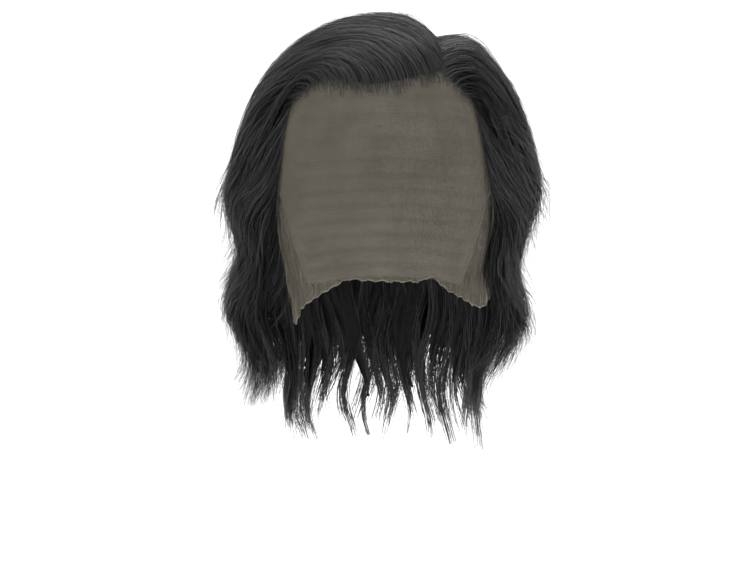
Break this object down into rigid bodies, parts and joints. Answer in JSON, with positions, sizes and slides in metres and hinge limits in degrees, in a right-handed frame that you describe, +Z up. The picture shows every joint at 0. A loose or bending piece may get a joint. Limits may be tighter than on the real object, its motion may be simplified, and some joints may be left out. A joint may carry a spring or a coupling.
{
  "type": "lace front wig",
  "caption": "Side-parted, loosely waved wig to the jaw and nape, with a sheer uncut lace sheet over the forehead and an open net cap that fits on a head.",
  "frame": {"origin": "inside of the cap at its top, where the crown of a head sits", "axes": "+Z up, -Y the way the wearer faces, +X towards the wearer's left, which is the viewer's right"},
  "size_m": [0.2248, 0.2192, 0.3277],
  "materials": {
    "lace": "sheer fine net",
    "cap_net": "matte stretch net",
    "hair": "soft satin fibre"
  },
  "bodies": {
    "root": {"lace_front": "lace", "wig_cap": "cap_net", "hair_top_sweep": "hair", "hair_top_short": "hair", "hair_crown_back": "hair", "hair_side_left": "hair", "hair_side_right": "hair", "hair_nape": "hair"}
  },
  "joints": []
}
